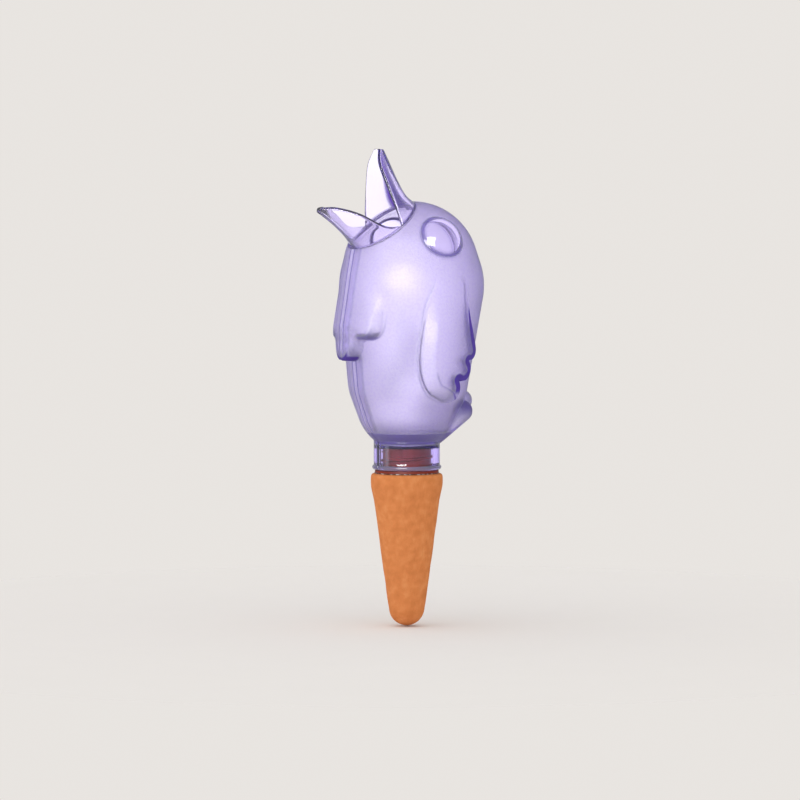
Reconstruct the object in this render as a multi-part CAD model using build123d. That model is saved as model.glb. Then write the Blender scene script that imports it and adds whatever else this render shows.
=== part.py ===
from build123d import *
from math import acos, asin, atan, atan2, cos, degrees, hypot, radians, sin, sqrt
import os

# Self watering spike: a bird shaped clear plastic reservoir screwed on a hollow unglazed clay cone
# Millimetres, Z up along the neck and the cone; the bird looks towards -Y and its left is +X
# The origin is on the neck axis at the rim of the clay cone, which is the soil line

# Clay cone
CONE_LENGTH = 70.0
CONE_RIM_RADIUS = 16.5
CONE_RIM_HEIGHT = 6.0
CONE_RIM_BEVEL = 0.8
CONE_NECK_RADIUS = 15.1
CONE_NECK_DEPTH = 12.4
CONE_TIP_RADIUS = 8.3
CONE_WALL = 5.0

# Screw adapter, glued in the mouth of the cone
SKIRT_RADIUS = 10.4
SKIRT_DEPTH = 9.0
SPIGOT_RADIUS = 11.0
ADAPTER_BORE_RADIUS = 8.6
FLANGE_RADIUS = 14.6
FLANGE_THICKNESS = 1.0
GLUE_GAP = 0.5
GLUE_OVERHANG = 0.6
SOCKET_CLEARANCE = 1.0

# Threaded neck of the reservoir and the seal inside it
NECK_RADIUS = 15.1
NECK_BORE_RADIUS = 12.3
NECK_TOP = 13.0
NECK_GAP = 0.3
LIP_STEP = 0.7
LIP_HEIGHT = 2.2
SHOULDER = 2.0
THROAT_RADIUS = 9.6
SEAL_THICKNESS = 1.2
SEAL_CLEARANCE = 0.3

# Body of the reservoir: an egg on an axis that leans back, wrapped round spheres from belly to crown
# Spheres of every wrapped form are (height on its axis, radius), from the lowest up
WALL = 2.0
EGG_PIVOT = 30.0
EGG_TILT = 2.6
EGG_SPHERES = ((3.0, 23.4), (14.0, 27.6), (56.0, 33.1), (64.1, 30.3))

# Chest: a long form in front of the egg, ended by a hem of three rounded feathers, as (X, Z)
CHEST_CENTRE = (0.0, -5.8, 65.0)
CHEST_SPHERES = ((-30.0, 26.5), (0.0, 28.6), (30.0, 25.8))
CHEST_TILT = 4.2
CHEST_BACK = 10.0
HEM_TIP = 52.2
HEM_NOTCH = (7.1, 60.6)
HEM_SIDE = (13.5, 60.3)
HEM_END = (18.0, 67.5)

# Wings: long forms on the flanks, cut by three feathers on the trailing edge, as (Y, Z)
WING_CENTRE = (11.9, 5.0, 61.2)
WING_SPHERES = ((-24.0, 18.0), (0.0, 22.8), (24.0, 18.0))
WING_LEAN = 7.0
WING_SHOULDER = (14.0, 91.0)
WING_TRAIL = ((15.2, 75.0), (17.2, 65.0), (19.8, 58.0))
WING_NOTCH_HIGH = (15.3, 52.3)
WING_NOTCH_LOW = (9.5, 43.7)
WING_FOOT = (2.0, 32.7)
WING_LOBES = ((18.9, 53.6), (16.9, 46.2), (10.6, 38.0))

# Eyes: glossy domes on the sides of the head
EYE_PLACE = (27.3, 4.0, 108.6)
EYE_DIRECTION = (0.92, 0.0, 0.38)
EYE_RADIUS = 12.4
EYE_RISE = 3.2

# Tail: upturned round ended feathers, each from its root to its tip
TAIL_RADIUS = 5.0
TAIL_ROOT_RADIUS = 3.0
TAIL_MIDDLE = ((0.0, 16.2, 16.5), (0.0, 32.0, 36.5))
TAIL_SIDE = ((8.0, 11.5, 16.5), (13.9, 24.8, 32.2))

# Mouth: the crown is cut by a plane that slopes up to the back
MOUTH_SLOPE = 38.5
MOUTH_DEPTH = 24.6
BEAK_ROOT = 1.0

# Beak: stations of the left side as ridge (Y, Z), rim (X, Y, Z), bulge over chord and wall
# They are in the frame of the mouth, where Z is the height over its rim and Y runs up its slope
BEAK_WALL = 2.0
UPPER_BEAK = (
    ((16.9, 5.3), (15.2, 4.1, 7.1), 0.16, 2.0),
    ((18.7, 11.9), (10.6, 9.0, 16.6), 0.11, 2.0),
    ((20.4, 19.9), (6.0, 13.7, 25.0), 0.08, 1.8),
    ((21.7, 27.0), (2.6, 19.2, 29.3), 0.05, 1.4),
)
LOWER_BEAK = (
    ((-18.5, 8.2), (18.4, -7.5, 5.6), 0.07, 2.0),
    ((-20.0, 16.1), (14.2, -12.7, 16.4), 0.04, 2.0),
    ((-21.7, 22.2), (7.5, -17.2, 23.5), 0.03, 1.8),
    ((-23.1, 26.4), (2.6, -20.8, 26.8), 0.03, 1.4),
)

# Sizes that follow from the ones above
FLANGE_TOP = GLUE_GAP + FLANGE_THICKNESS
NECK_BOTTOM = FLANGE_TOP + NECK_GAP
SPIGOT_TOP = NECK_TOP - SEAL_THICKNESS
SOCKET_RADIUS = SKIRT_RADIUS + GLUE_GAP
SOCKET_DEPTH = SKIRT_DEPTH + SOCKET_CLEARANCE
LIP_RADIUS = NECK_RADIUS + LIP_STEP
CROWN_HEIGHT, CROWN_RADIUS = EGG_SPHERES[-1]
MOUTH_RADIUS = sqrt(CROWN_RADIUS**2 - MOUTH_DEPTH**2)
REACH = CONE_LENGTH + EGG_PIVOT + CROWN_HEIGHT + CROWN_RADIUS


def revolved(outline, side=1):
    """Turn a closed outline of radius and height about the Z axis, with its seam away from the side."""
    seam = Plane((0, 0, 0), x_dir=(-side, 0, 0), z_dir=(0, side, 0))
    return revolve(seam * make_face(outline), Axis.Z)


def half_revolved(outline, side=1):
    """Turn a closed outline over the left side of the seam plane, or over the right for side -1."""
    start = Plane((0, 0, 0), x_dir=(0, -side, 0), z_dir=(-side, 0, 0))
    return revolve(start * make_face(outline), Axis.Z, revolution_arc=180)


def rod(radius, bottom, top):
    return revolved([Polyline((0, bottom), (radius, bottom), (radius, top), (0, top), close=True)])


def tube(outer, inner, bottom, top):
    return rod(outer, bottom, top) - rod(inner, bottom, top)


def placed(point, side):
    """A point given for the left side, on the side that is asked for."""
    x, y, z = point
    return Vector(side * x, y, z)


def round_taper(start, tip_radius, length, inset):
    """Side of a round ended taper that hangs down, as its tip arc and the tangent line up to the start."""
    start = Vector(*start)
    centre = tip_radius - length
    rise = start.Y - centre
    turn = atan2(rise, start.X) - acos(tip_radius / hypot(rise, start.X))
    tip = CenterArc((0, centre), tip_radius - inset, -90, 90 + degrees(turn))
    return tip, Line(tip @ 1, start - Vector(cos(turn), sin(turn)) * inset)


def feather(ends, side, turn=revolved):
    root, end = (placed(point, side) for point in ends)
    tip, taper = round_taper((TAIL_ROOT_RADIUS, 0), TAIL_RADIUS, (end - root).length, 0)
    frame = Plane(root, x_dir=(side, 0, 0), z_dir=root - end)
    outline = [tip, taper, Line(taper @ 1, (0, 0)), Line((0, 0), tip @ 0)]
    return frame.location * turn(outline)


def wrapped(spheres, inset):
    """Outline of a skin drawn tight round spheres on an axis, from pole to pole, set in from it."""
    turns = [-90]
    for (height, radius), (next_height, next_radius) in zip(spheres, spheres[1:]):
        turns.append(degrees(asin((radius - next_radius) / (next_height - height))))
    turns.append(90)
    arcs = []
    for (height, radius), turn, next_turn in zip(spheres, turns, turns[1:]):
        arcs.append(CenterArc((0, height), radius - inset, turn, next_turn - turn))
    lines = [Line(arc @ 1, next_arc @ 0) for arc, next_arc in zip(arcs, arcs[1:])]
    return [*arcs, *lines, Line(arcs[-1] @ 1, arcs[0] @ 0)]


def egg(side, inset):
    form = half_revolved(wrapped(EGG_SPHERES, inset), side)
    return Pos(0, 0, EGG_PIVOT) * Rot(-EGG_TILT, 0, 0) * form


def chest(side, inset):
    form = half_revolved(wrapped(CHEST_SPHERES, inset), side)
    form = Pos(*CHEST_CENTRE) * Rot(-CHEST_TILT, 0, 0) * form
    notch = Vector(*HEM_NOTCH)
    end = Vector(*HEM_END)
    corner = end + Vector(REACH, 2 * REACH)
    hem = [ThreePointArc((-notch.X, notch.Y), (0, HEM_TIP), notch)]
    hem.append(ThreePointArc(notch, HEM_SIDE, end))
    hem.append(Polyline(end, corner, (-notch.X, corner.Y), (-notch.X, notch.Y)))
    front = Plane((0, -CHEST_BACK, inset), x_dir=(side, 0, 0), z_dir=(0, -side, 0))
    return form & extrude(front * make_face(hem), side * REACH)


def wing(side, inset):
    form = revolved(wrapped(WING_SPHERES, inset), side)
    form = Pos(*placed(WING_CENTRE, side)) * Rot(0, side * WING_LEAN, 0) * form
    high, middle, low = WING_LOBES
    outline = [Spline(WING_SHOULDER, *WING_TRAIL)]
    outline.append(ThreePointArc(WING_TRAIL[-1], high, WING_NOTCH_HIGH))
    outline.append(ThreePointArc(WING_NOTCH_HIGH, middle, WING_NOTCH_LOW))
    outline.append(ThreePointArc(WING_NOTCH_LOW, low, WING_FOOT))
    corner = (-REACH, WING_FOOT[1])
    outline.append(Polyline(WING_FOOT, corner, (corner[0], WING_SHOULDER[1]), WING_SHOULDER))
    feathers = extrude(Plane.YZ * make_face(outline), side * REACH)
    return form & (Pos(0, -inset, inset / 2) * feathers)


def eye(side):
    outward = placed(EYE_DIRECTION, side).normalized()
    centre = placed(EYE_PLACE, side) + outward * (EYE_RISE - EYE_RADIUS)
    frame = Plane(centre, x_dir=outward * -1, z_dir=(0, 1, 0))
    return frame.location * Sphere(EYE_RADIUS)


def bird(side, inset):
    """Half of the bird without beak, tail and neck; set in by the wall it is the cavity."""
    return egg(side, inset) + chest(side, inset) + wing(side, inset)


def mouth_frame():
    """Frame in the middle of the mouth's rim: Z out of the mouth, Y towards the upper beak."""
    tilt = radians(EGG_TILT)
    crown = Vector(0, CROWN_HEIGHT * sin(tilt), EGG_PIVOT + CROWN_HEIGHT * cos(tilt))
    slope = radians(MOUTH_SLOPE)
    outward = Vector(0, -sin(slope), cos(slope))
    return Plane(crown + outward * MOUTH_DEPTH, x_dir=(1, 0, 0), z_dir=outward)


def beak_section(side, ridge, rim, bulge, wall):
    """A bowed strip from the ridge on the seam plane out to the rim."""
    chord = rim - ridge
    across = Vector(side, 0, 0)
    down = Vector(0, chord.Y, chord.Z).normalized()
    lean = atan2(chord.dot(across), chord.dot(down))
    bow = 2 * atan(2 * bulge)
    outward = across * cos(lean) - down * sin(lean)
    rim_outward = across * cos(lean - bow) - down * sin(lean - bow)
    middle = (ridge + rim) / 2 + outward * bulge * chord.length
    inner_ridge = ridge + down * (wall / sin(lean + bow))
    inner_rim = rim - rim_outward * wall
    strip = [ThreePointArc(ridge, middle, rim)]
    strip.append(Line(rim, inner_rim))
    strip.append(ThreePointArc(inner_rim, middle - outward * wall, inner_ridge))
    strip.append(Line(inner_ridge, ridge))
    return make_face(strip)


def beak(side, stations, low):
    """Loft from a quarter of the mouth's rim, let into the wall, out to the tip of the beak."""
    mouth = mouth_frame()
    ridge_root = (-MOUTH_RADIUS if low else MOUTH_RADIUS, -BEAK_ROOT)
    rim_root = (MOUTH_RADIUS, 0, -BEAK_ROOT)
    quarter = sqrt(0.5) - 0.5
    sections = []
    for ridge, rim, bulge, wall in ((ridge_root, rim_root, quarter, BEAK_WALL), *stations):
        ridge = mouth.from_local_coords(Vector(0, *ridge))
        rim = mouth.from_local_coords(placed(rim, side))
        sections.append(beak_section(side, ridge, rim, bulge, wall))
    return loft(sections)


def neck(side, top):
    """Half of the neck with a bevelled lip, before it is bored."""
    lip_top = NECK_BOTTOM + LIP_HEIGHT
    bevel = LIP_RADIUS - NECK_RADIUS
    outline = Polyline(
        (0, NECK_BOTTOM), (NECK_RADIUS, NECK_BOTTOM), (LIP_RADIUS, NECK_BOTTOM + bevel),
        (LIP_RADIUS, lip_top - bevel), (NECK_RADIUS, lip_top), (NECK_RADIUS, top), (0, top), close=True,
    )
    return half_revolved([outline], side)


def reservoir_half(side):
    front_of_mouth = mouth_frame() * Pos(0, 0, REACH) * Box(4 * REACH, 4 * REACH, 2 * REACH)
    floor = NECK_TOP + SHOULDER
    form = bird(side, 0) + eye(side) + neck(side, floor)
    form = form + feather(TAIL_MIDDLE, side, half_revolved) + feather(TAIL_SIDE, side)
    form = form - (bird(side, WALL) - neck(side, floor))
    form = form - rod(NECK_BORE_RADIUS, 0, NECK_TOP) - rod(THROAT_RADIUS, 0, floor + SHOULDER)
    form = form - front_of_mouth
    return form + beak(side, UPPER_BEAK, low=False) + beak(side, LOWER_BEAK, low=True)


def clay_cone():
    shoulder = (CONE_NECK_RADIUS, -CONE_NECK_DEPTH)
    tip, taper = round_taper(shoulder, CONE_TIP_RADIUS, CONE_LENGTH, 0)
    rim = CONE_RIM_RADIUS
    bevel = CONE_RIM_BEVEL
    edge = Polyline(taper @ 1, (rim, -CONE_RIM_HEIGHT), (rim, -bevel), (rim - bevel, 0), (0, 0), tip @ 0)
    body = revolved([tip, taper, edge])
    tip, taper = round_taper(shoulder, CONE_TIP_RADIUS, CONE_LENGTH, CONE_WALL)
    low = taper @ 0
    high = taper @ 1
    bore = Polyline(low, high, (high.X, -SOCKET_DEPTH), (0, -SOCKET_DEPTH), (0, low.Y), close=True)
    return body - revolved([bore]) - rod(SOCKET_RADIUS, -SOCKET_DEPTH, REACH)


def screw_adapter():
    body = rod(SKIRT_RADIUS, -SKIRT_DEPTH, GLUE_GAP)
    body = body + rod(FLANGE_RADIUS, GLUE_GAP, FLANGE_TOP)
    body = body + rod(SPIGOT_RADIUS, FLANGE_TOP, SPIGOT_TOP)
    return body - rod(ADAPTER_BORE_RADIUS, -REACH, REACH)


def adhesive_bead():
    sleeve = tube(SOCKET_RADIUS, SKIRT_RADIUS, -SKIRT_DEPTH, 0)
    return sleeve + tube(FLANGE_RADIUS + GLUE_OVERHANG, SKIRT_RADIUS, 0, GLUE_GAP)


def seal_ring():
    return tube(NECK_BORE_RADIUS - SEAL_CLEARANCE, THROAT_RADIUS, SPIGOT_TOP, NECK_TOP)


parts = {
    "reservoir_left": reservoir_half(1),
    "reservoir_right": reservoir_half(-1),
    "seal_ring": seal_ring(),
    "screw_adapter": screw_adapter(),
    "adhesive_bead": adhesive_bead(),
    "clay_cone": clay_cone(),
}
os.makedirs("parts", exist_ok=True)
for name, part in parts.items():
    export_step(part, f"parts/{name}.step")
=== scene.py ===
from math import acos, atan, atan2, cos, hypot, pi, radians, sin, sqrt, tan

import bpy
import numpy as np
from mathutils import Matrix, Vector


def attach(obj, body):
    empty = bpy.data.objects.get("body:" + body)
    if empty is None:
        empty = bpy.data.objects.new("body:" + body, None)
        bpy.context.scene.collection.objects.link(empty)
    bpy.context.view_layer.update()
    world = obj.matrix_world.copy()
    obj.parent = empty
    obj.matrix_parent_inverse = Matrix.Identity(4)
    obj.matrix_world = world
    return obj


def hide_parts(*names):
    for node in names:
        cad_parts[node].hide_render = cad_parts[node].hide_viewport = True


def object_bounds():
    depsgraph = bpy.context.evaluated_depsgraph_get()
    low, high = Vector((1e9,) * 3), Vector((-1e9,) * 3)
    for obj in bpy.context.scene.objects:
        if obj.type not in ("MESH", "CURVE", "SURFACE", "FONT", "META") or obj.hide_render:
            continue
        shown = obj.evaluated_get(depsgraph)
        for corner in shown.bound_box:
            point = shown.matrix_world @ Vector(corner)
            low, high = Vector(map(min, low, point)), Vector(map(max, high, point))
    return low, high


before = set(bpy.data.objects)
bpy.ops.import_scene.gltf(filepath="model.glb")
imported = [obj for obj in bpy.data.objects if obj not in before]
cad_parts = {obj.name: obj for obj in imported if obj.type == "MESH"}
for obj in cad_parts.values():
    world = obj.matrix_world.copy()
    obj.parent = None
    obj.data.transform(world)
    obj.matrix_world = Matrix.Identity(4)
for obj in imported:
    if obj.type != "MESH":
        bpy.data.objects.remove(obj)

CAD_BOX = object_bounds()
MM = 0.001

# Bird: sizes in millimetres, in the frame of the solids; a sphere is its place on the axis and its radius
WALL = 2.0
HALF_WIDTH = 34.0
SEAM_GAP = 0.1
SEAM_GROOVE = (0.55, 1.0)
SEAM_FLANGE = (1.3, 3.2)
EGG_PIVOT = 30.0
EGG_TILT = radians(2.6)
EGG_SPHERES = ((3.0, 23.4), (14.0, 27.6), (56.0, 33.1), (64.1, 30.3))

# Chest: its hem as (X, Z), and the roundings that are added along it as more, from X, to X
CHEST_CENTRE = (0.0, -5.8, 65.0)
CHEST_TILT = radians(4.2)
CHEST_SPHERES = ((-30.0, 26.5), (0.0, 28.6), (30.0, 25.8))
CHEST_BACK = 10.0
CHEST_BACK_ROUNDING = 1.6
CHEST_FILLET = 0.8
HEM_TIP = ((0.0, 52.2), (2.8, 52.8), (5.4, 54.9), (7.2, 57.6), (8.0, 60.8))
HEM_SIDE = ((8.0, 60.8), (10.0, 61.9), (14.8, 62.5), (18.0, 65.6), (20.0, 73.0))
HEM_ROUNDING = 0.8
HEM_MORE_ROUNDING = ((1.2, 4.0, 7.0), (5.0, 15.0, 19.0))
BEYOND = (60.0, 150.0)

# Wing: its outline as (Y, Z), and the heights between which its edge, its bevel and its body grow
WING_LEAD = (
    (0.0, 94.0), (-4.2, 87.2), (-8.1, 77.3), (-9.6, 65.8),
    (-10.2, 53.4), (-8.3, 43.2), (-4.2, 36.6), (2.0, 33.4),
)
WING_TRAIL = ((14.0, 91.0), (15.2, 75.0), (17.2, 65.0), (19.8, 58.0))
WING_LOBES = (
    ((19.8, 58.0), (18.9, 53.6), (15.3, 52.3)),
    ((15.3, 52.3), (16.9, 46.2), (9.5, 43.7)),
    ((9.5, 43.7), (10.6, 38.0), (2.0, 33.4)),
)
WING_RISE = 4.4
WING_EDGE_RISE = 0.4
WING_BEVEL = (1.5, 6.5)
WING_RIDGE = 0.2
WING_EDGE_ROUNDING = 0.7
WING_FILLET = 0.25
EDGE_GROWS = (92.0, 84.0)
BEVEL_GROWS = (90.0, 68.0)
BODY_GROWS = (84.0, 60.0)

# Eye and tail
EYE_PLACE = np.array((27.3, 4.0, 108.6))
EYE_DIRECTION = np.array((0.92, 0.0, 0.38)) / hypot(0.92, 0.38)
EYE_RADIUS = 12.4
EYE_RISE = 3.2
EYE_FILLET = 0.35
TAIL_FEATHERS = (((0.0, 16.2, 16.5), (0.0, 32.0, 36.5)), ((8.0, 11.5, 16.5), (13.9, 24.8, 32.2)))
TAIL_RADII = (3.0, 5.0)
TAIL_FILLET = 1.2

# Painted shade: how far the wall's colour is darkened towards deep violet, 0 on the pale wall and 1 where
# light runs along it; a mark is its depth, place and width
ON_EDGE = (0.7, 0.2)
BAND_RISE = (0.6, 1.8)
BAND_SLOPE = (-0.8, -0.6)
BAND_THIN = 0.3
BAND_END = (35.5, 39.0)
LEAD_MARK = (0.55, 0.0, 0.4)
LEAD_RISE = (0.1, 0.5)
FOLD_MARK = (0.6, 1.0, 0.07)
FOLD_TOP = (49.0, 45.0)
WING_FOOT_SHADE = 0.4
WING_FOOT_TOP = (41.0, 36.0)
HEM_MARK = (0.55, 0.2, 0.4)
HEM_TOP = (76.0, 66.0)
HEM_UNDER = (-2.4, -1.2)
HEM_UNDER_TIP = (6.0, 4.2)
HEM_UNDER_SIDE = ((9.5, 11.0), (18.0, 15.5))
HEM_SIDE_SHADE = 0.8
EYE_MARK = (0.45, 0.0, 0.4)
EYE_ROOT_MARK = (1.0, 0.0, 1.2)
EYE_GLOSS = (0.3, 0.1)
SEAM_MARK = (0.9, 1.6, 0.5)
FLANGE_MARK = (0.42, 5.8, 1.0)
SEAM_BROAD_SHADE = (0.1, 0.0, 9.0)
BACK_SHADE = 0.12
BACK_FROM = (14.0, 28.0)
TAIL_SHADES = (0.35, 0.9)
TAIL_FROM = (20.0, 31.0)
TAIL_SKIN = (0.8, 0.1)
FLOOR_SHADE = 0.85
FLOOR_OUTSIDE = ((19.4, 18.6), (13.0, 14.0))
FLOOR_INSIDE = (19.6, 18.8)
LIP_SHADE = 0.6
NECK_GLOSS = (15.5, 14.5)

# Mouth and beak; a station in the mouth's frame is ridge (Y, Z), rim (X, Y, Z), bulge over chord and wall
MOUTH_SLOPE = radians(38.5)
MOUTH_DEPTH = 24.6
BEAK_WALL = 2.0
BEAK_GAP = 0.04
BEAK_LIFT = 0.05
# Painted shade on the beak: a least amount everywhere and a darker root over the mouth
BEAK_SHADE = 0.04
BEAK_ROOT_SHADE = 0.6
BEAK_ROOT = (1.0, 0.4)
RIM_DULL = 0.3
RIM_FROM = (0.7, 0.78)
RIM_ROUNDING = 0.48
# Painted shade along the beak's ridge, and how little of it the outer skin keeps there
OUTER_RIDGE = (0.2, 0.12)
UPPER_RIDGE = (1.0, 0.36, 0.28)
LOWER_RIDGE = (0.5, 0.12, 0.05)
UPPER_BEAK = (
    ((16.9, 5.3), (15.2, 4.1, 7.1), 0.16, 2.0),
    ((18.7, 11.9), (10.6, 9.0, 16.6), 0.11, 2.0),
    ((20.4, 19.9), (6.0, 13.7, 25.0), 0.08, 1.8),
    ((21.7, 27.0), (2.6, 19.2, 29.3), 0.05, 1.4),
)
LOWER_BEAK = (
    ((-18.5, 8.2), (18.4, -7.5, 5.6), 0.07, 2.0),
    ((-20.0, 16.1), (14.2, -12.7, 16.4), 0.04, 2.0),
    ((-21.7, 22.2), (7.5, -17.2, 23.5), 0.03, 1.8),
    ((-23.1, 26.4), (2.6, -20.8, 26.8), 0.03, 1.4),
)

# Neck and thread
NECK_BOTTOM = 1.8
NECK_TOP = 13.0
NECK_RADIUS = 15.1
NECK_BORE = 12.3
LIP_STEP = 0.7
LIP_HEIGHT = 2.2
LIP_ROUNDNESS = 0.7
LIP_LEAST = 0.01
FLOOR_TOP = 15.0
THROAT = 9.6
SPIGOT_RADIUS = 11.0
THREAD_PITCH = 4.0
THREAD_DEPTH = 0.9
THREAD_ROOT = 0.05
THREAD_ENDS = (3.2, 10.4)
THREAD_PROFILE = ((0.0, -0.85), (0.75, -0.45), (1.0, -0.25), (1.0, 0.25), (0.75, 0.45), (0.0, 0.85))
THREAD_RUN_OUT = (0.02, 9)

# Glue and clay cone
SKIRT_RADIUS = 10.4
SKIRT_DEPTH = 9.0
SOCKET_RADIUS = 10.9
SOCKET_DEPTH = 10.0
SOCKET_CHAMFER = (0.4, 0.3)
GLUE_RADIUS = 15.2
GLUE_GAP = 0.5
GLUE_BEAD = 0.24
GLUE_WAVER = 0.3
GLUE_SEED = 7
GLUE_WAVES = (3, 5, 8, 13, 19, 27, 36)
GLUE_WAVE_SIZES = (0.04, 0.16)
GLUE_PLAY = (0.02, 0.01)
CONE_LENGTH = 70.0
CONE_RIM = (
    (14.8, 0.0), (15.9, -0.35), (16.4, -1.3), (16.5, -3.6),
    (16.35, -6.4), (15.75, -9.4), (15.1, -12.4),
)
CONE_TIP_RADIUS = 8.3
CONE_WALL = 5.0
CONE_UNEVEN = 0.16
CONE_SEED = 11
CONE_WAVES = 10
CONE_WAVE_PITCHES = (0.1, 0.6)

# Meshes: columns in degrees round the left half, fine at the seams and the wing, and rows in millimetres
SEAM_COLUMNS = (89.3, 89.7, 90.0)
COLUMN_RUNS = (
    (-88.8, -84.0, 0.5), (-83.5, -20.0, 1.1), (-20.0, 48.0, 0.45), (48.0, 83.5, 1.1), (84.0, 89.0, 0.5),
)
LIP_ROWS = 9
NECK_ROWS = (5.0, 8.0, 11.0, 12.95, NECK_TOP, 13.6, 14.2, 14.9, FLOOR_TOP)
BODY_ROWS = (15.3, 0.42)
DOME_ROWS = 66
RAY_REACH = (4.0, 55.0)
RAY_HALVINGS = 16
CURVE_STEPS = 4
BEAK_STEPS = 12
STRIP_STEPS = 18
RIM_STEPS = 7
THREAD_STEPS = 90
GLUE_STEPS = 240
GLUE_BEAD_STEPS = 9
CONE_STEPS = 180
CONE_RIM_STEPS = 5
CONE_SIDE_STEPS = 40
CONE_TIP_STEPS = 15

# Studio, in metres: tone of the paper, the sky's light as a mean and a change towards its bright side
PAPER = (0.81, 0.78, 0.75)
SKY = (0.8, 0.5)
SKY_FROM = (0.262, -0.72, 0.643)
SKY_IN_GLOSS = 0.5
SKY_SEEN_THROUGH = 1.4
FLOOR_RINGS = (0.1, 0.2, 0.3)
FLOOR_STEPS = 96
FLOOR_DROP = 0.0004
BOX_AZIMUTH = radians(42)
BOX_DISTANCE = 1.5
BOX_HEIGHT = 0.44
BOX_SIZE = 1.0
BOX_POWER = 55.0
BOX_TARGET = (0, 0, 0.07)
CAMERA_AZIMUTH = radians(60)
CAMERA_ELEVATION = radians(3.2)
CAMERA_DISTANCE = 2.0356
CAMERA_TARGET = (-0.00309, 0.03343)
CAMERA_LENS = 200
CAMERA_SENSOR = 36


# Distances, in millimetres
def tilted(spheres, centre, tilt):
    """Spheres on an axis that leans back, as centres and radii."""
    axis = np.array((0, sin(tilt), cos(tilt)))
    return [(np.array(centre) + axis * height, radius) for height, radius in spheres]


def chain(points, spheres):
    """Distance to a skin drawn tight round a row of spheres."""
    nearest = np.full(points.shape[:-1], 1e6)
    for (start, first), (end, last) in zip(spheres, spheres[1:]):
        axis = end - start
        length = np.linalg.norm(axis)
        axis = axis / length
        taper = (first - last) / length
        along = (points - start) @ axis
        away = np.linalg.norm(points - start - along[..., None] * axis, axis=-1)
        place = np.clip(along - taper * away / sqrt(1 - taper**2), 0, length)
        nearest = np.minimum(nearest, np.hypot(away, along - place) - first + taper * place)
    return nearest


def joined(a, b, blend):
    """Union of two distances with a fillet."""
    mix = np.clip(0.5 + 0.5 * (b - a) / blend, 0, 1)
    return b + (a - b) * mix - blend * mix * (1 - mix)


def cut(a, b, blend):
    """Common part of two distances with a rounded edge."""
    return -joined(-a, -b, blend)


def ramped(value, start, end):
    """Smooth step from 0 at the start to 1 at the end."""
    part = np.clip((value - start) / (end - start), 0, 1)
    return part * part * (3 - 2 * part)


def marked(value, depth, place, width):
    """A soft mark of painted shade, of a depth and a width where the value has its place."""
    return depth * np.exp(-((value - place) / width)**2)


def arc(start, through, end, steps=12):
    """Points on the arc from a start through a middle point to an end."""
    (ax, ay), (bx, by), (cx, cy) = start, through, end
    a2, b2, c2 = ax**2 + ay**2, bx**2 + by**2, cx**2 + cy**2
    d = 2 * (ax * (by - cy) + bx * (cy - ay) + cx * (ay - by))
    ux = (a2 * (by - cy) + b2 * (cy - ay) + c2 * (ay - by)) / d
    uy = (a2 * (cx - bx) + b2 * (ax - cx) + c2 * (bx - ax)) / d
    first, middle, last = (atan2(y - uy, x - ux) for x, y in (start, through, end))
    turn = (last - first) % (2 * pi)
    if (middle - first) % (2 * pi) > turn:
        turn -= 2 * pi
    angles = first + turn * np.linspace(0, 1, steps)
    radius = hypot(ax - ux, ay - uy)
    return np.stack((ux + np.cos(angles) * radius, uy + np.sin(angles) * radius), axis=-1)


def smooth_line(stations, steps):
    """Points on a Catmull-Rom curve through stations of any dimension."""
    stations = np.array(stations, float)
    padded = np.vstack((2 * stations[0] - stations[1], stations, 2 * stations[-1] - stations[-2]))
    points = []
    for a, b, c, d in zip(padded, padded[1:], padded[2:], padded[3:]):
        for t in np.arange(steps) / steps:
            bend = (2 * a - 5 * b + 4 * c - d) * t**2 + (3 * b - a - 3 * c + d) * t**3
            points.append(b + 0.5 * ((c - a) * t + bend))
    points.append(stations[-1])
    return np.array(points)


def line_distance(places, line):
    """Distance to a line of points."""
    nearest = np.full(places.shape[:-1], 1e6)
    for start, end in zip(line, line[1:]):
        edge = end - start
        along = np.clip(((places - start) @ edge) / (edge @ edge), 0, 1)
        nearest = np.minimum(nearest, np.linalg.norm(places - start - along[..., None] * edge, axis=-1))
    return nearest


def outline_distance(places, outline):
    """Signed distance to a closed outline, negative inside."""
    closed = np.vstack((outline, outline[:1]))
    inside = np.zeros(places.shape[:-1], bool)
    for (ax, ay), (bx, by) in zip(closed, closed[1:]):
        if ay != by:
            crosses = (ay > places[..., 1]) != (by > places[..., 1])
            inside ^= crosses & (places[..., 0] < (bx - ax) * (places[..., 1] - ay) / (by - ay) + ax)
    distance = line_distance(places, closed)
    return np.where(inside, -distance, distance)


EGG = tilted(EGG_SPHERES, (0, 0, EGG_PIVOT), EGG_TILT)
CHEST = tilted(CHEST_SPHERES, CHEST_CENTRE, CHEST_TILT)
EYE_CENTRE = EYE_PLACE + EYE_DIRECTION * (EYE_RISE - EYE_RADIUS)
HEM_OUTLINE = np.vstack((
    smooth_line(HEM_TIP, CURVE_STEPS),
    smooth_line(HEM_SIDE, CURVE_STEPS)[1:],
    (BEYOND, (-BEYOND[0], BEYOND[1]), (-BEYOND[0], HEM_TIP[0][1])),
))
LEAD_LINE = smooth_line(WING_LEAD, CURVE_STEPS)
WING_OUTLINE = np.vstack((
    smooth_line(WING_TRAIL, CURVE_STEPS),
    *(arc(*lobe)[1:] for lobe in WING_LOBES),
    LEAD_LINE[::-1][1:],
))


def feather_spheres(ends):
    """Spheres at the root and in the round tip of a tail feather."""
    root, tip = np.array(ends[0]), np.array(ends[1])
    axis = (tip - root) / np.linalg.norm(tip - root)
    return [(root, TAIL_RADII[0]), (tip - axis * TAIL_RADII[1], TAIL_RADII[1])]


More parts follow.
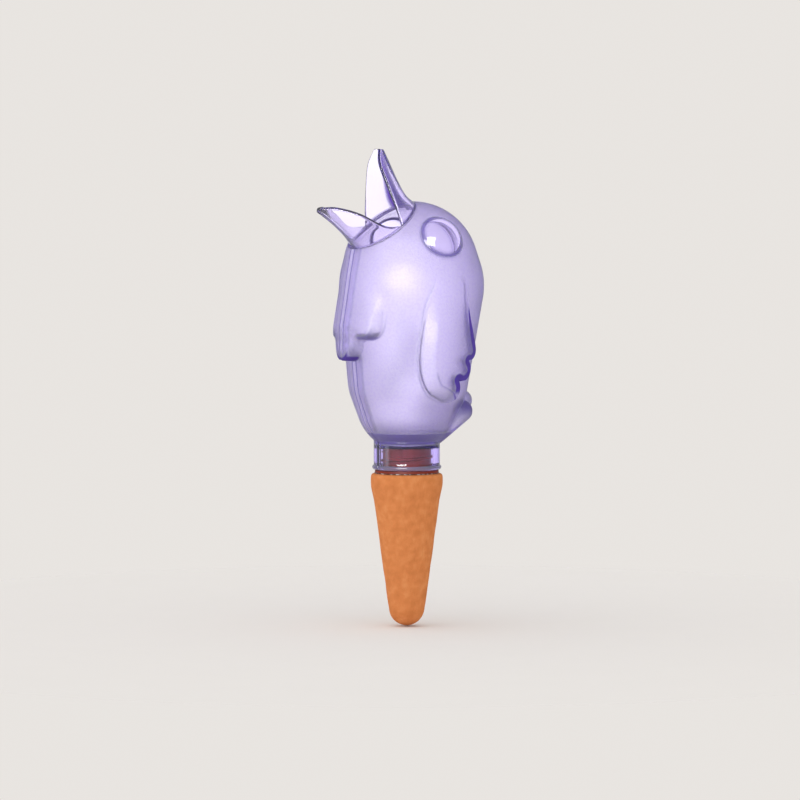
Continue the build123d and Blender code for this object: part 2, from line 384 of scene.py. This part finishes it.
def wing_rise(places):
    """How far the wing stands over the body, and how far up its bevel a place is.

    It is thin at its leading edge and its shoulder and full at the feathers.
    """
    height = places[..., 1]
    edge = WING_EDGE_RISE * ramped(height, *EDGE_GROWS)
    narrow, wide = WING_BEVEL
    bevel = line_distance(places, LEAD_LINE) / (narrow + (wide - narrow) * ramped(height, *BEVEL_GROWS))
    body = ramped(height, *BODY_GROWS) * joined(bevel, np.ones_like(bevel), WING_RIDGE)
    return edge + (WING_RISE - WING_EDGE_RISE) * body, bevel


def eye_distance(points):
    return np.linalg.norm(points - EYE_CENTRE, axis=-1) - EYE_RADIUS


def bird(points):
    """Distance to the outer skin on the left side, and the measures of the forms that it joins."""
    egg = chain(points, EGG)
    hem = outline_distance(points[..., [0, 2]], HEM_OUTLINE)
    rounding = HEM_ROUNDING
    for more, start, end in HEM_MORE_ROUNDING:
        rounding = rounding + more * ramped(points[..., 0], start, end)
    bib = cut(chain(points, CHEST), hem, rounding)
    bib = cut(bib, points[..., 1] + CHEST_BACK, CHEST_BACK_ROUNDING)
    edge = outline_distance(points[..., [1, 2]], WING_OUTLINE)
    rise, bevel = wing_rise(points[..., [1, 2]])
    wing = cut(egg - rise, edge, WING_EDGE_ROUNDING)
    head = joined(joined(egg, bib, CHEST_FILLET), wing, WING_FILLET)
    feathers = [chain(points, feather_spheres(ends)) for ends in TAIL_FEATHERS]
    form = joined(head, eye_distance(points), EYE_FILLET)
    form = joined(form, np.minimum(*feathers), TAIL_FILLET)
    return form, (hem, edge, rise, bevel, head, feathers)


def wing_painted_shade(edge, rise, bevel, height):
    """Painted shade on the wing: its trailing feathers, its leading edge, and the fold at its foot."""
    on_wing = ramped(edge, *ON_EDGE)
    band = ramped(rise, *BAND_RISE) * ramped(edge / np.maximum(rise, BAND_THIN), *BAND_SLOPE)
    band = band * on_wing * ramped(height, *BAND_END)
    lead = marked(edge, *LEAD_MARK) * ramped(rise, *LEAD_RISE)
    fold = marked(bevel, *FOLD_MARK) * ramped(height, *FOLD_TOP)
    foot = on_wing * (fold + WING_FOOT_SHADE * ramped(height, *WING_FOOT_TOP))
    return np.maximum.reduce((band, lead, foot))


def hem_painted_shade(hem, points):
    """Painted shade along the chest's hem and on the undersides of its feathers."""
    across = points[..., 0]
    inner, outer = HEM_UNDER_SIDE
    under = ramped(across, *HEM_UNDER_TIP)
    under = under + HEM_SIDE_SHADE * ramped(across, *inner) * ramped(across, *outer)
    under = under * ramped(hem, *HEM_UNDER) * ramped(hem, *ON_EDGE)
    line = marked(hem, *HEM_MARK) * ramped(points[..., 2], *HEM_TOP)
    return np.maximum(under, line) * (points[..., 1] < -CHEST_BACK)


def outer_painted_shade_and_gloss(points):
    """Painted shade on the outer skin, and how glossy it is."""
    _, (hem, edge, rise, bevel, head, feathers) = bird(points)
    across, height = points[..., 0], points[..., 2]
    eye = eye_distance(points)
    tail = [depth * ramped(feather, *TAIL_SKIN) for depth, feather in zip(TAIL_SHADES, feathers)]
    upper, lower = FLOOR_OUTSIDE
    # Painted shade: dark wing bands, hem undersides, eye root, lines along the seam and its inner flange,
    # broader shade near the seam and on the back, and the tail's tips
    painted_shade = np.maximum.reduce((
        wing_painted_shade(edge, rise, bevel, height),
        hem_painted_shade(hem, points),
        marked(head - eye, *EYE_MARK),
        marked(across, *SEAM_MARK) + marked(across, *FLANGE_MARK),
        marked(across, *SEAM_BROAD_SHADE),
        BACK_SHADE * ramped(points[..., 1], *BACK_FROM),
        ramped(height, *TAIL_FROM) * np.maximum(*tail),
    ))
    floor = FLOOR_SHADE * ramped(height, *upper) * ramped(height, *lower)
    gloss = np.maximum(ramped(np.abs(eye), *EYE_GLOSS), ramped(height, *NECK_GLOSS))
    return np.maximum(np.clip(painted_shade, 0, 1), floor), gloss


def inner_painted_shade_marks(points):
    """Painted shade on the inner skin: round the eye's hollow and on the floor."""
    eye = eye_distance(points)
    ring = marked(chain(points, EGG) - eye, *EYE_ROOT_MARK) * (eye < 0)
    return ring, FLOOR_SHADE * ramped(points[..., 2], *FLOOR_INSIDE)


def reach(origins, directions, inset):
    """How far each ray goes before it leaves the skin that is set in from the bird's outer skin."""
    low, high = (np.full(origins.shape[:-1], distance) for distance in RAY_REACH)
    for _ in range(RAY_HALVINGS):
        middle = (low + high) / 2
        inside = bird(origins + directions * middle[..., None])[0] + inset < 0
        low = np.where(inside, middle, low)
        high = np.where(inside, high, middle)
    return (low + high) / 2


# Meshes
def new_piece(name, vertices, faces, body, finish):
    """A smooth mesh from millimetres that rides on a body."""
    mesh = bpy.data.meshes.new(name)
    mesh.from_pydata((np.asarray(vertices) * MM).tolist(), [], faces)
    mesh.polygons.foreach_set("use_smooth", np.full(len(faces), True))
    mesh.materials.append(finish)
    piece = bpy.data.objects.new(name, mesh)
    bpy.context.scene.collection.objects.link(piece)
    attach(piece, body)
    return piece


def mark(piece, name, values):
    """Store a number at each vertex for the materials."""
    piece.data.attributes.new(name, "FLOAT", "POINT").data.foreach_set("value", np.asarray(values, float))


def grid_faces(rows, columns, first=0, closed=False):
    """Quads over a grid of vertices that is stored row by row."""
    faces = []
    for row in range(rows - 1):
        for column in range(columns if closed else columns - 1):
            a = first + row * columns + column
            b = first + row * columns + (column + 1) % columns
            faces.append((a, b, b + columns, a + columns))
    return faces


def flipped(faces):
    return [face[::-1] for face in faces]


def shell(outer, inner, flip):
    """A closed shell between two grids of points with the same rows and columns."""
    rows, columns = outer.shape[:2]
    count = rows * columns
    faces = grid_faces(rows, columns) + flipped(grid_faces(rows, columns, count))
    for column in range(columns - 1):
        low, high = column, (rows - 1) * columns + column
        faces.append((low, low + count, low + count + 1, low + 1))
        faces.append((high, high + 1, high + count + 1, high + count))
    for row in range(rows - 1):
        first, last = row * columns, row * columns + columns - 1
        faces.append((first, first + columns, first + columns + count, first + count))
        faces.append((last, last + count, last + columns + count, last + columns))
    vertices = np.vstack((outer.reshape(-1, 3), inner.reshape(-1, 3)))
    return vertices, flipped(faces) if flip else faces


def lathe(profile, columns, wobble):
    """Turn a line of (radius, height) that starts and ends on the axis, set in here and there by a wobble."""
    turns = np.arange(columns) * 2 * pi / columns
    rings = []
    for radius, height in profile[1:-1]:
        out = radius - wobble(turns, height)
        rings.append(np.stack((out * np.cos(turns), out * np.sin(turns), np.full(columns, height)), axis=-1))
    count = len(rings) * columns
    faces = grid_faces(len(rings), columns, closed=True)
    faces += [((c + 1) % columns, c, count) for c in range(columns)]
    faces += [(count - columns + c, count - columns + (c + 1) % columns, count + 1) for c in range(columns)]
    ends = [(0, 0, profile[0][1]), (0, 0, profile[-1][1])]
    return np.vstack((np.vstack(rings), ends)), faces


# Materials
def material(name):
    made = bpy.data.materials.new(name)
    made.use_nodes = True
    nodes, links = made.node_tree.nodes, made.node_tree.links
    return made, nodes, links, nodes["Principled BSDF"], nodes.new("ShaderNodeTexCoord").outputs["Object"]


def noise(nodes, links, place, scale, detail=3.0, stretch=(1, 1, 1)):
    mapping = nodes.new("ShaderNodeMapping")
    mapping.inputs["Scale"].default_value = stretch
    links.new(place, mapping.inputs["Vector"])
    texture = nodes.new("ShaderNodeTexNoise")
    texture.inputs["Scale"].default_value = scale
    texture.inputs["Detail"].default_value = detail
    links.new(mapping.outputs["Vector"], texture.inputs["Vector"])
    return texture.outputs["Fac"]


def bump(nodes, links, height, shader, strength, distance):
    node = nodes.new("ShaderNodeBump")
    node.inputs["Strength"].default_value = strength
    node.inputs["Distance"].default_value = distance
    links.new(height, node.inputs["Height"])
    links.new(node.outputs["Normal"], shader.inputs["Normal"])
    return node


def attribute(nodes, name):
    node = nodes.new("ShaderNodeAttribute")
    node.attribute_name = name
    return node.outputs["Fac"]


def mapped(nodes, links, factor, none, full):
    """A number that goes from one value to another with a factor."""
    node = nodes.new("ShaderNodeMapRange")
    node.inputs["To Min"].default_value = none
    node.inputs["To Max"].default_value = full
    links.new(factor, node.inputs["Value"])
    return node.outputs["Result"]


def colour_ramp(nodes, links, factor, stops):
    node = nodes.new("ShaderNodeValToRGB")
    while len(node.color_ramp.elements) < len(stops):
        node.color_ramp.elements.new(0.5)
    for element, (place, colour) in zip(node.color_ramp.elements, stops):
        element.position = place
        element.color = (*colour, 1.0)
    links.new(factor, node.inputs["Fac"])
    return node.outputs["Color"]


def mixed(nodes, links, kind, factor, first, second):
    """A mix of two inputs, each a link or a value."""
    node = nodes.new("ShaderNodeMix")
    node.data_type = kind
    links.new(factor, node.inputs["Factor"])
    for socket, value in (("A", first), ("B", second)):
        if isinstance(value, bpy.types.NodeSocket):
            links.new(value, node.inputs[socket])
        else:
            node.inputs[socket].default_value = value
    return node.outputs["Result"]


def violet_plastic():
    """Tinted clear plastic, frosted but for its glossy parts.

    The wall absorbs, so the colour deepens where it is thick; the painted shade attribute darkens the colour
    to deep violet and makes the wall less clear at edges, creases and undersides.
    """
    made, nodes, links, shader, place = material("violet_plastic")
    speckle = noise(nodes, links, place, scale=900.0)
    frosted = colour_ramp(nodes, links, speckle, ((0.4, (0.92, 0.905, 0.975)), (0.56, (1.0, 1.0, 1.0))))
    gloss = attribute(nodes, "gloss")
    pale = mixed(nodes, links, "RGBA", gloss, frosted, (0.97, 0.955, 0.995, 1.0))
    # Painted shade: the attribute darkens the base colour towards deep violet and lowers the transmission
    painted_shade = attribute(nodes, "painted_shade")
    tone = mixed(nodes, links, "RGBA", painted_shade, pale, (0.065, 0.018, 0.36, 1.0))
    links.new(tone, shader.inputs["Base Color"])
    clear = nodes.new("ShaderNodeMath")
    clear.operation = "ADD"
    links.new(mapped(nodes, links, painted_shade, 0.95, 0.35), clear.inputs[0])
    links.new(mapped(nodes, links, gloss, 0.0, 0.05), clear.inputs[1])
    links.new(clear.outputs["Value"], shader.inputs["Transmission Weight"])
    links.new(mapped(nodes, links, gloss, 0.48, 0.02), shader.inputs["Roughness"])
    shader.inputs["IOR"].default_value = 1.49
    grain = noise(nodes, links, place, scale=1300.0, detail=2.0)
    frost = bump(nodes, links, grain, shader, strength=0.5, distance=0.0004)
    links.new(mapped(nodes, links, gloss, 0.5, 0.0), frost.inputs["Strength"])
    absorption = nodes.new("ShaderNodeVolumeAbsorption")
    absorption.inputs["Color"].default_value = (0.45, 0.295, 0.82, 1.0)
    absorption.inputs["Density"].default_value = 180.0
    links.new(absorption.outputs["Volume"], nodes["Material Output"].inputs["Volume"])
    return made


def terracotta():
    made, nodes, links, shader, place = material("terracotta_clay")
    cloud = noise(nodes, links, place, scale=260.0, detail=9.0)
    stops = ((0.3, (0.62, 0.2, 0.055)), (0.52, (0.7, 0.235, 0.07)), (0.72, (0.76, 0.285, 0.096)))
    links.new(colour_ramp(nodes, links, cloud, stops), shader.inputs["Base Color"])
    shader.inputs["Roughness"].default_value = 0.9
    shader.inputs["Specular IOR Level"].default_value = 0.15
    grain = noise(nodes, links, place, scale=900.0, detail=8.0, stretch=(1, 1, 0.4))
    bump(nodes, links, grain, shader, strength=0.7, distance=0.0007)
    return made


def brown_plastic():
    made, nodes, links, shader, place = material("brown_plastic")
    cloud = noise(nodes, links, place, scale=150.0)
    stops = ((0.3, (0.21, 0.022, 0.009)), (0.7, (0.3, 0.036, 0.016)))
    links.new(colour_ramp(nodes, links, cloud, stops), shader.inputs["Base Color"])
    shader.inputs["Roughness"].default_value = 0.5
    shader.inputs["Specular IOR Level"].default_value = 0.2
    grain = noise(nodes, links, place, scale=1600.0)
    bump(nodes, links, grain, shader, strength=0.2, distance=0.0002)
    return made


def seal_rubber():
    made, nodes, links, shader, place = material("seal_rubber")
    cloud = noise(nodes, links, place, scale=400.0)
    stops = ((0.3, (0.015, 0.014, 0.014)), (0.7, (0.03, 0.028, 0.028)))
    links.new(colour_ramp(nodes, links, cloud, stops), shader.inputs["Base Color"])
    shader.inputs["Roughness"].default_value = 0.7
    grain = noise(nodes, links, place, scale=2500.0)
    bump(nodes, links, grain, shader, strength=0.2, distance=0.0001)
    return made


def clear_adhesive():
    made, nodes, links, shader, place = material("clear_adhesive")
    cloud = noise(nodes, links, place, scale=600.0)
    # The colour runs in patches from dark brown to whitish; the whitish patches are painted glints
    stops = ((0.5, (0.3, 0.11, 0.08)), (0.6, (0.9, 0.84, 0.8)))
    links.new(colour_ramp(nodes, links, cloud, stops), shader.inputs["Base Color"])
    shader.inputs["Roughness"].default_value = 0.15
    shader.inputs["IOR"].default_value = 1.47
    shader.inputs["Transmission Weight"].default_value = 0.6
    return made


VIOLET = violet_plastic()
CLAY = terracotta()
BROWN = brown_plastic()
RUBBER = seal_rubber()
GLUE = clear_adhesive()


# Reservoir body
def mouth_axes():
    """Crown's centre, the mouth's outward direction and the way up its slope."""
    height = EGG_SPHERES[-1][0]
    crown = np.array((0, height * sin(EGG_TILT), EGG_PIVOT + height * cos(EGG_TILT)))
    outward = np.array((0, -sin(MOUTH_SLOPE), cos(MOUTH_SLOPE)))
    slope = np.array((0, cos(MOUTH_SLOPE), sin(MOUTH_SLOPE)))
    return crown, outward, slope


def body_rays():
    """Level rays from the axis up to the crown's centre, then rays from there round to the mouth's rim."""
    crown, outward, slope = mouth_axes()
    front = [-degree for degree in SEAM_COLUMNS[::-1]]
    angles = np.radians(np.concatenate((front, *(np.arange(*run) for run in COLUMN_RUNS), SEAM_COLUMNS)))
    flat = np.stack((np.cos(angles), np.sin(angles), np.zeros_like(angles)), axis=-1)
    lip = np.linspace(NECK_BOTTOM, NECK_BOTTOM + LIP_HEIGHT, LIP_ROWS)
    bottom, step = BODY_ROWS
    heights = np.concatenate((lip, NECK_ROWS, np.arange(bottom, crown[2], step)))
    axis_y = np.where(heights <= FLOOR_TOP, 0, (heights - EGG_PIVOT) * tan(EGG_TILT))
    level = np.stack((np.zeros_like(heights), axis_y, heights), axis=-1)
    rim_angle = acos(MOUTH_DEPTH / EGG_SPHERES[-1][1])
    round_rim = np.cos(angles)[:, None] * np.array((1, 0, 0)) + np.sin(angles)[:, None] * slope
    rim = cos(rim_angle) * outward + sin(rim_angle) * round_rim
    spread = np.arccos(np.clip((flat * rim).sum(axis=-1), -1, 1))[None, :, None]
    parts = np.linspace(0, 1, DOME_ROWS)[:, None, None]
    dome = (np.sin((1 - parts) * spread) * flat + np.sin(parts * spread) * rim) / np.sin(spread)
    level = np.repeat(level[:, None, :], len(angles), axis=1)
    origins = np.concatenate((level, np.broadcast_to(crown, dome.shape)))
    directions = np.concatenate((np.repeat(flat[None], len(heights), axis=0), dome))
    return origins, directions


def body_shell():
    """Outer and inner points of the left half of the body and neck, with their painted shade and gloss."""
    origins, directions = body_rays()
    heights = origins[:, :1, 2]
    outer = reach(origins, directions, 0.0)
    inner = reach(origins, directions, WALL)
    lip = LIP_STEP * np.sin(np.clip((heights - NECK_BOTTOM) / LIP_HEIGHT, 0, 1) * pi)**LIP_ROUNDNESS
    neck = np.maximum(NECK_RADIUS + lip, np.where(heights < NECK_TOP, 0, outer))
    bore = np.where(heights < NECK_TOP, NECK_BORE, THROAT)
    outer = np.where(heights <= FLOOR_TOP, neck, outer)
    inner = np.where(heights <= FLOOR_TOP, bore, inner)
    outer_points = origins + directions * outer[..., None]
    inner_points = origins + directions * inner[..., None]
    painted_shade, gloss = outer_painted_shade_and_gloss(outer_points)
    # Painted shade on the neck's lip
    painted_shade = np.maximum(painted_shade, LIP_SHADE * (lip > LIP_LEAST))
    ring, floor = inner_painted_shade_marks(inner_points)
    inner_painted_shade = np.maximum(ring, floor * (heights >= FLOOR_TOP))
    depth, width = SEAM_GROOVE
    outer_points -= directions * (depth * np.clip(1 - outer_points[..., :1] / width, 0, 1)**2)
    depth, width = SEAM_FLANGE
    flange = depth * ramped(inner_points[..., :1], width, width - 1) * (heights > FLOOR_TOP)[..., None]
    inner_points -= directions * flange
    painted_shades = np.concatenate((painted_shade.ravel(), inner_painted_shade.ravel()))
    return outer_points, inner_points, painted_shades, np.concatenate((gloss.ravel(), np.ones(gloss.size)))


BODY = body_shell()


def on_side(points, side, gap):
    """Points of the left half on the side that is asked for, drawn off the seam by half its gap."""
    moved = points.copy()
    moved[..., 0] = side * (gap + points[..., 0] * (1 - gap / HALF_WIDTH))
    return moved


def make_body(side, name, node):
    outer, inner, painted_shade, gloss = BODY
    vertices, faces = shell(on_side(outer, side, SEAM_GAP), on_side(inner, side, SEAM_GAP), side < 0)
    piece = new_piece(name, vertices, faces, "reservoir", VIOLET)
    mark(piece, "painted_shade", painted_shade)
    mark(piece, "gloss", gloss)
    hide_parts(node)


# Beak
def beak_section(ridge, rim, bulge, wall):
    """Outer and inner points of a bowed strip from the ridge on the seam out to its rounded rim."""
    chord = rim - ridge
    across = np.array((1.0, 0, 0))
    down = np.array((0, chord[1], chord[2])) / hypot(chord[1], chord[2])
    lean = atan2(chord[0], chord @ down)
    bow = 2 * atan(2 * bulge)
    radius = np.linalg.norm(chord) / (2 * sin(bow))
    ease = np.linspace(0, pi / 2, RIM_STEPS)[1:]
    edge = min(0.5 * wall / (2 * bow * radius), 0.5)
    parts = np.concatenate((np.linspace(0, 1 - edge, STRIP_STEPS), 1 - edge + edge * np.sin(ease)))
    thin = np.concatenate((np.zeros(STRIP_STEPS), 1 - np.cos(ease)))[:, None] * wall * RIM_ROUNDING
    turns = lean + bow - 2 * bow * parts
    normals = across * np.cos(turns)[:, None] - down * np.sin(turns)[:, None]
    centre = ridge - normals[0] * radius
    outer = centre + normals * (radius - thin)
    inner = centre + normals * (radius - wall + thin)
    inner[:, 0] = np.maximum(inner[:, 0], 0)
    return outer, inner


def beak_looks(points, low):
    """Painted shade and gloss on the outer and then the inner points of a strip."""
    parts = np.broadcast_to(np.linspace(0, 1, points.shape[2]), points.shape[:3])
    depth, start, end = LOWER_RIDGE if low else UPPER_RIDGE
    crown, outward, _ = mouth_axes()
    over_mouth = (points - crown) @ outward - MOUTH_DEPTH
    root = BEAK_ROOT_SHADE * ramped(over_mouth, *BEAK_ROOT)
    painted_shade = np.maximum(np.maximum(depth * ramped(parts, start, end), root), BEAK_SHADE)
    painted_shade[0] *= np.maximum(BEAK_SHADE, ramped(parts[0], *OUTER_RIDGE))
    return painted_shade.ravel(), (1 - RIM_DULL * ramped(parts, *RIM_FROM)).ravel()


def make_beak(side, stations, low, name):
    crown, outward, slope = mouth_axes()
    mouth = crown + outward * MOUTH_DEPTH
    radius = sqrt(EGG_SPHERES[-1][1]**2 - MOUTH_DEPTH**2)
    quarter_bulge = sqrt(0.5) - 0.5
    root = ((-radius if low else radius, BEAK_LIFT), (radius, 0.0, BEAK_LIFT), quarter_bulge, BEAK_WALL)
    table = [(*ridge, *rim, bulge, wall) for ridge, rim, bulge, wall in (root, *stations)]
    sections = []
    for ridge_y, ridge_z, rim_x, rim_y, rim_z, bulge, wall in smooth_line(table, BEAK_STEPS):
        ridge = mouth + slope * ridge_y + outward * ridge_z
        rim = mouth + np.array((rim_x, 0, 0)) + slope * rim_y + outward * rim_z
        sections.append(beak_section(ridge, rim, bulge, wall))
    points = np.array(sections).swapaxes(0, 1)
    vertices, faces = shell(*on_side(points, side, BEAK_GAP), (side > 0) != low)
    piece = new_piece(name, vertices, faces, "reservoir", VIOLET)
    painted_shade, gloss = beak_looks(points, low)
    mark(piece, "gloss", gloss)
    mark(piece, "painted_shade", painted_shade)


for side, word in ((1, "left"), (-1, "right")):
    make_body(side, f"body_{word}", f"reservoir_{word}")
    make_beak(side, UPPER_BEAK, False, f"upper_beak_{word}")
    make_beak(side, LOWER_BEAK, True, f"lower_beak_{word}")


# Screw thread on the adapter
def make_thread():
    """Helical ridge on the spigot, run out at both ends."""
    bottom, top = THREAD_ENDS
    turns = (top - bottom) / THREAD_PITCH
    steps = int(turns * THREAD_STEPS)
    root = SPIGOT_RADIUS - THREAD_ROOT
    crest = SPIGOT_RADIUS + THREAD_DEPTH
    least, slope = THREAD_RUN_OUT
    vertices = []
    for part in np.linspace(0, 1, steps + 1):
        turn = 2 * pi * turns * part
        fade = min(1, least + slope * part, least + slope * (1 - part))
        for out, rise in THREAD_PROFILE:
            radius = root + (crest - root) * out * fade
            height = bottom + (top - bottom) * part + rise * fade
            vertices.append((radius * cos(turn), radius * sin(turn), height))
    count = len(THREAD_PROFILE)
    faces = grid_faces(steps + 1, count)
    for step in range(steps):
        a = step * count
        faces.append((a + count - 1, a, a + count, a + 2 * count - 1))
    faces.append(tuple(range(count))[::-1])
    faces.append(tuple(steps * count + i for i in range(count)))
    new_piece("adapter_thread", vertices, flipped(faces), "spike", BROWN)


# Glue squeezed out under the adapter's flange
def make_glue():
    rng = np.random.default_rng(GLUE_SEED)
    waves = [(count, rng.uniform(0, 2 * pi), rng.uniform(*GLUE_WAVE_SIZES)) for count in GLUE_WAVES]
    play, under = GLUE_PLAY
    skirt, socket = SKIRT_RADIUS + play, SOCKET_RADIUS - play
    vertices = []
    for turn in np.arange(GLUE_STEPS) * 2 * pi / GLUE_STEPS:
        wobble = sum(size * sin(count * turn + wave) for count, wave, size in waves)
        middle = GLUE_RADIUS - GLUE_WAVER + GLUE_WAVER * max(-1.0, min(1.0, 2 * wobble)) - GLUE_BEAD
        bends = np.linspace(-pi / 2, pi / 2, GLUE_BEAD_STEPS)
        profile = [(middle + GLUE_BEAD * cos(bend), GLUE_GAP / 2 + GLUE_BEAD * sin(bend)) for bend in bends]
        profile += [(skirt, GLUE_GAP - under), (skirt, -SKIRT_DEPTH), (socket, -SKIRT_DEPTH), (socket, under)]
        vertices += [(radius * cos(turn), radius * sin(turn), height) for radius, height in profile]
    count = len(profile)
    faces = []
    for column in range(GLUE_STEPS):
        a, b = column * count, (column + 1) % GLUE_STEPS * count
        faces += [(a + row, b + row, b + (row + 1) % count, a + (row + 1) % count) for row in range(count)]
    piece = new_piece("glue_bead", vertices, faces, "spike", GLUE)
    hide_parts("adhesive_bead")


# Clay cone with a soft rim and a slightly uneven surface
def make_cone():
    start_radius, start_height = CONE_RIM[-1]
    centre = CONE_TIP_RADIUS - CONE_LENGTH
    rise = start_height - centre
    turn = atan2(rise, start_radius) - acos(CONE_TIP_RADIUS / hypot(rise, start_radius))
    normal = np.array((cos(turn), sin(turn)))

    def side(inset):
        """Tip arc and the side up to the rim, set in from the outside."""
        radius = CONE_TIP_RADIUS - inset
        tip = [(0.0, centre - radius)]
        for angle in np.linspace(-pi / 2, turn, CONE_TIP_STEPS)[1:]:
            tip.append((radius * cos(angle), centre + radius * sin(angle)))
        top = np.array((start_radius, start_height)) - normal * inset
        return tip + [tuple(p) for p in np.linspace(tip[-1], top, CONE_SIDE_STEPS)[1:]]

    rim = [tuple(p) for p in smooth_line(CONE_RIM, CONE_RIM_STEPS)[::-1]][1:]
    wider, deeper = SOCKET_CHAMFER
    socket = [(SOCKET_RADIUS + wider, 0.0), (SOCKET_RADIUS, -deeper), (SOCKET_RADIUS, -SOCKET_DEPTH)]
    profile = side(0.0) + rim + socket + side(CONE_WALL)[::-1]
    rng = np.random.default_rng(CONE_SEED)
    waves = []
    for _ in range(CONE_WAVES):
        waves.append((rng.integers(1, 9), rng.uniform(*CONE_WAVE_PITCHES), rng.uniform(0, 2 * pi)))

    def wobble(turns, height):
        bumps = sum(np.sin(count * turns + pitch * height + wave) for count, pitch, wave in waves)
        return CONE_UNEVEN * (0.5 + 0.5 * np.tanh(0.5 * bumps))

    vertices, faces = lathe(profile, CONE_STEPS, wobble)
    piece = new_piece("clay_body", vertices, faces, "spike", CLAY)
    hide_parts("clay_cone")


make_thread()
make_glue()
make_cone()
for node, finish in (("screw_adapter", BROWN), ("seal_ring", RUBBER)):
    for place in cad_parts[node].material_slots:
        place.material = finish


# Studio: a pale floor in an even surround of its own tone, a soft box and the camera
def make_floor():
    """Disc of paper in the tone that gives PAPER under the sky's light."""
    made, nodes, links, shader, place = material("pale_paper")
    cloud = noise(nodes, links, place, scale=40.0)
    light = SKY[0] + SKY[1] * SKY_FROM[2] * 2 / 3
    dark, pale = (tuple(part * shade / light for shade in PAPER) for part in (0.997, 1.003))
    links.new(colour_ramp(nodes, links, cloud, ((0.3, dark), (0.7, pale))), shader.inputs["Base Color"])
    shader.inputs["Roughness"].default_value = 0.95
    shader.inputs["Specular IOR Level"].default_value = 0.0
    turns = np.arange(FLOOR_STEPS) * 2 * pi / FLOOR_STEPS
    rings = [np.stack((r * np.cos(turns), r * np.sin(turns), 0 * turns), axis=-1) for r in FLOOR_RINGS]
    faces = flipped(grid_faces(len(rings), len(turns), closed=True)) + [tuple(range(len(turns)))]
    mesh = bpy.data.meshes.new("floor")
    mesh.from_pydata(np.vstack(rings).tolist(), [], faces)
    mesh.materials.append(made)
    floor = bpy.data.objects.new("floor", mesh)
    floor.location.z = CAD_BOX[0][2] - FLOOR_DROP
    bpy.context.scene.collection.objects.link(floor)


def make_light():
    """Soft box that faces the body and shows as a highlight alone."""
    lamp = bpy.data.lights.new("soft_box", "AREA")
    lamp.shape = "RECTANGLE"
    lamp.size, lamp.size_y = BOX_SIZE, BOX_SIZE
    lamp.energy = BOX_POWER
    light = bpy.data.objects.new("soft_box", lamp)
    light.location = (BOX_DISTANCE * sin(BOX_AZIMUTH), -BOX_DISTANCE * cos(BOX_AZIMUTH), BOX_HEIGHT)
    light.rotation_mode = "QUATERNION"
    light.rotation_quaternion = (Vector(BOX_TARGET) - light.location).to_track_quat("-Z", "Y")
    light.visible_camera = False
    light.visible_diffuse = False
    light.visible_transmission = False
    bpy.context.scene.collection.objects.link(light)


def make_world():
    """Light that grows towards the front; seen directly, the surround has the tone of the lit floor."""
    world = bpy.data.worlds.new("studio")
    world.use_nodes = True
    nodes, links = world.node_tree.nodes, world.node_tree.links
    facing = nodes.new("ShaderNodeVectorMath")
    facing.operation = "DOT_PRODUCT"
    links.new(nodes.new("ShaderNodeTexCoord").outputs["Generated"], facing.inputs[0])
    facing.inputs[1].default_value = SKY_FROM
    sky = nodes.new("ShaderNodeMath")
    sky.operation = "MULTIPLY_ADD"
    links.new(facing.outputs["Value"], sky.inputs[0])
    sky.inputs[1].default_value, sky.inputs[2].default_value = SKY[1], SKY[0]
    path = nodes.new("ShaderNodeLightPath").outputs
    strength = sky.outputs["Value"]
    for ray, level in (("Glossy", SKY_IN_GLOSS), ("Transmission", SKY_SEEN_THROUGH), ("Camera", 1.0)):
        strength = mixed(nodes, links, "FLOAT", path[f"Is {ray} Ray"], strength, level)
    colour = mixed(nodes, links, "RGBA", path["Is Camera Ray"], (1.0, 1.0, 1.0, 1.0), (*PAPER, 1.0))
    links.new(strength, nodes["Background"].inputs["Strength"])
    links.new(colour, nodes["Background"].inputs["Color"])
    bpy.context.scene.world = world


def make_camera():
    """A long lens a little above level, seen from the bird's left front."""
    level = cos(CAMERA_ELEVATION)
    back = Vector((sin(CAMERA_AZIMUTH) * level, -cos(CAMERA_AZIMUTH) * level, sin(CAMERA_ELEVATION)))
    right = Vector((cos(CAMERA_AZIMUTH), sin(CAMERA_AZIMUTH), 0))
    up = back.cross(right)
    lens = bpy.data.cameras.new("camera")
    lens.lens = CAMERA_LENS
    lens.sensor_width = CAMERA_SENSOR
    camera = bpy.data.objects.new("camera", lens)
    camera.location = right * CAMERA_TARGET[0] + up * CAMERA_TARGET[1] + back * CAMERA_DISTANCE
    camera.rotation_mode = "QUATERNION"
    camera.rotation_quaternion = (-back).to_track_quat("-Z", "Y")
    bpy.context.scene.collection.objects.link(camera)
    bpy.context.scene.camera = camera


make_floor()
make_light()
make_world()
make_camera()
bpy.context.scene.view_settings.view_transform = "Standard"
